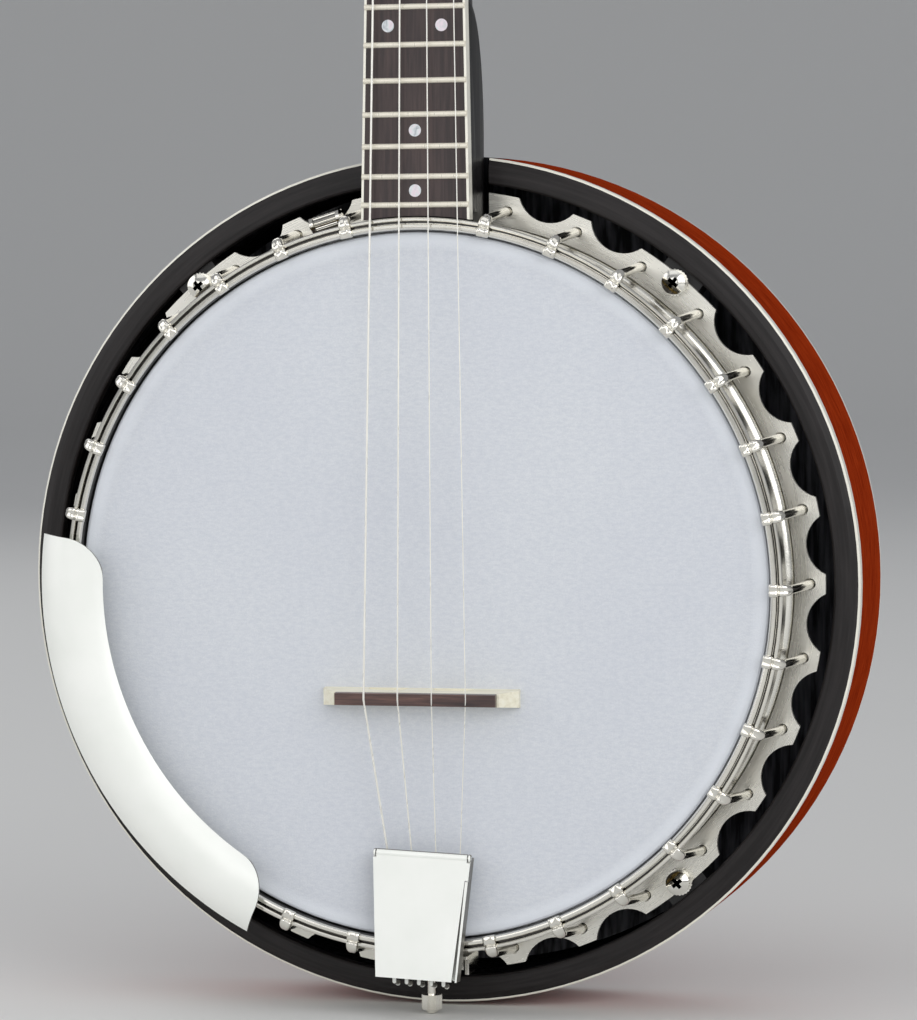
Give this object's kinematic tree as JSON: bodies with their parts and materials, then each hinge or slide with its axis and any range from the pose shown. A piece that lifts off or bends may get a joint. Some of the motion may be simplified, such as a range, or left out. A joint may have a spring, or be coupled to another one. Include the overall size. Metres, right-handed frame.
{
  "type": "banjo",
  "caption": "Resonator banjo: drum head on a rim with hooks and flange, a long fretted neck, geared pegs, strings, bridge, hinged tailpiece cover and an armrest.",
  "frame": {"origin": "middle of the neck's thickness where the neck meets the headstock, where a wall hanger's yoke holds it", "axes": "+Z along the strings towards the headstock, -Y out of the drum head towards the player's audience, +X to the right seen from the front"},
  "size_m": [0.346, 0.1085, 0.7827],
  "materials": {
    "nickel_plate": "polished nickel plate",
    "flange_plate": "satin nickel plate",
    "steel": "plain steel",
    "ring_brass": "plain",
    "head_film": "frosted film",
    "rim_maple": "dark stained laminated maple",
    "black_lacquer": "gloss black lacquer",
    "black_ring": "satin black lacquer",
    "mahogany": "gloss red-brown lacquer",
    "lug_wood": "black stained",
    "ivory_binding": "gloss",
    "rosewood": "oiled open grain",
    "nickel_silver": "polished",
    "pearl": "pearly",
    "bone": "satin",
    "cover_plastic": "gloss black",
    "string_steel": "polished wire",
    "maple": "bare maple",
    "dark_cap": "oiled"
  },
  "bodies": {
    "instrument": {"tension_hoop": "nickel_plate", "bracket_hooks": "nickel_plate", "bracket_nuts": "nickel_plate", "flange_tube": "nickel_plate", "resonator_screws": "nickel_plate", "tailpiece_base": "nickel_plate", "tailpiece_hinge_pin": "nickel_plate", "tailpiece_bracket": "nickel_plate", "tailpiece_bolt": "nickel_plate", "tailpiece_screw": "nickel_plate", "tailpiece_nut": "nickel_plate", "armrest_plate": "nickel_plate", "armrest_brackets": "nickel_plate", "strap_bracket": "nickel_plate", "strap_screw": "nickel_plate", "small_screws": "nickel_plate", "tuner_cases": "nickel_plate", "tuner_bushings": "nickel_plate", "flange": "flange_plate", "coordinator_rods": "steel", "hanger_bolts": "steel", "truss_rod": "steel", "flesh_hoop": "steel", "tone_ring": "ring_brass", "drum_head": "head_film", "rim": "rim_maple", "neck": "black_lacquer", "headstock_veneer": "black_lacquer", "heel_cap": "black_lacquer", "resonator_ring": "black_ring", "resonator_side": "mahogany", "resonator_back": "mahogany", "resonator_lugs": "lug_wood", "front_binding": "ivory_binding", "rear_binding": "ivory_binding", "fingerboard_binding": "ivory_binding", "fingerboard": "rosewood", "frets": "nickel_silver", "fret_markers": "pearl", "string_nut": "bone", "truss_rod_cover": "cover_plastic", "string_1": "string_steel", "string_2": "string_steel", "string_3": "string_steel", "string_4": "string_steel", "bridge_base": "maple", "bridge_cap": "dark_cap"},
    "button_1": {"tuner_shaft_1": "nickel_plate", "tuner_button_1": "pearl"},
    "post_1": {"tuner_post_1": "nickel_plate"},
    "button_2": {"tuner_shaft_2": "nickel_plate", "tuner_button_2": "pearl"},
    "post_2": {"tuner_post_2": "nickel_plate"},
    "button_3": {"tuner_shaft_3": "nickel_plate", "tuner_button_3": "pearl"},
    "post_3": {"tuner_post_3": "nickel_plate"},
    "button_4": {"tuner_shaft_4": "nickel_plate", "tuner_button_4": "pearl"},
    "post_4": {"tuner_post_4": "nickel_plate"},
    "tailpiece_lid": {"tailpiece_cover": "nickel_plate"}
  },
  "joints": [
    {"name": "button_1_turn", "type": "hinge", "parent": "instrument", "child": "button_1", "pos_m": [0.021, 0.00344, 0.041], "axis": [0, 0.9716, -0.2367], "continuous": true},
    {"name": "post_1_turn", "type": "hinge", "parent": "instrument", "child": "post_1", "pos_m": [0.021, 0.00344, 0.041], "axis": [0, 0.9716, -0.2367], "continuous": true},
    {"name": "button_2_turn", "type": "hinge", "parent": "instrument", "child": "button_2", "pos_m": [0.0185, 0.01433, 0.08569], "axis": [0, 0.9716, -0.2367], "continuous": true},
    {"name": "post_2_turn", "type": "hinge", "parent": "instrument", "child": "post_2", "pos_m": [0.0185, 0.01433, 0.08569], "axis": [0, 0.9716, -0.2367], "continuous": true},
    {"name": "button_3_turn", "type": "hinge", "parent": "instrument", "child": "button_3", "pos_m": [-0.0185, 0.01433, 0.08569], "axis": [0, 0.9716, -0.2367], "continuous": true},
    {"name": "post_3_turn", "type": "hinge", "parent": "instrument", "child": "post_3", "pos_m": [-0.0185, 0.01433, 0.08569], "axis": [0, 0.9716, -0.2367], "continuous": true},
    {"name": "button_4_turn", "type": "hinge", "parent": "instrument", "child": "button_4", "pos_m": [-0.021, 0.00344, 0.041], "axis": [0, 0.9716, -0.2367], "continuous": true},
    {"name": "post_4_turn", "type": "hinge", "parent": "instrument", "child": "post_4", "pos_m": [-0.021, 0.00344, 0.041], "axis": [0, 0.9716, -0.2367], "continuous": true},
    {"name": "tailpiece_lid_hinge", "type": "hinge", "parent": "instrument", "child": "tailpiece_lid", "pos_m": [0.00163, -0.0253, -0.57734], "axis": [-0.999, 0, 0.0454], "range_deg": [0, 75]}
  ],
  "couplings": [
    {"joint": "post_1_turn", "follows": "button_1_turn", "ratio": 0.25},
    {"joint": "post_2_turn", "follows": "button_2_turn", "ratio": 0.25},
    {"joint": "post_3_turn", "follows": "button_3_turn", "ratio": 0.25},
    {"joint": "post_4_turn", "follows": "button_4_turn", "ratio": 0.25}
  ]
}
